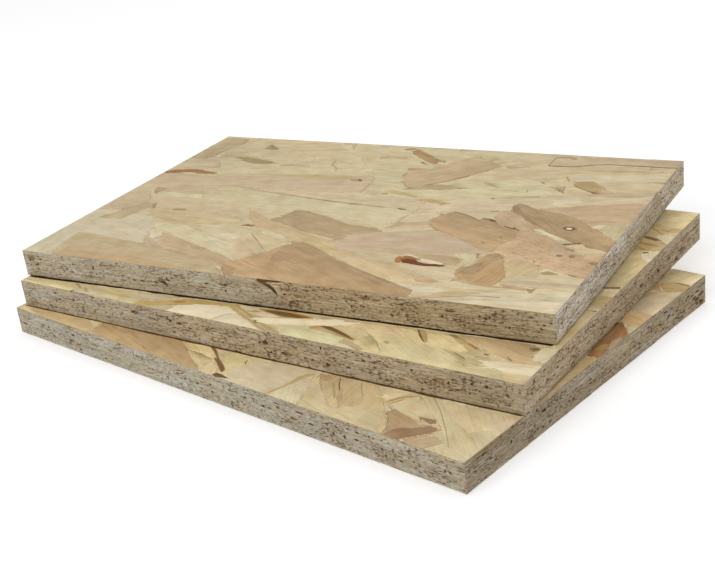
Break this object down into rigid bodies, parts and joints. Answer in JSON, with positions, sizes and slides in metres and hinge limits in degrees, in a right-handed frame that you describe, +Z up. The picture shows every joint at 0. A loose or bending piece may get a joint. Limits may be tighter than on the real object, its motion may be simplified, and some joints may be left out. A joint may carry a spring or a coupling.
{
  "type": "stack of osb panels",
  "caption": "Stack of flat rectangular oriented strand board panels, each turned a little on the one below, raw sheet stock for flooring, walls and boxes.",
  "frame": {"origin": "centre of the bottom panel's underside, on the floor", "axes": "+X along the bottom panel's long side, +Y across it, +Z up through the stack"},
  "size_m": [0.3478, 0.273, 0.045],
  "materials": {
    "strand_board": "pressed strand face, matte to satin, with grey-brown sawn edges"
  },
  "bodies": {
    "root": {"panel_bottom": "strand_board", "panel_middle": "strand_board", "panel_top": "strand_board"}
  },
  "joints": []
}
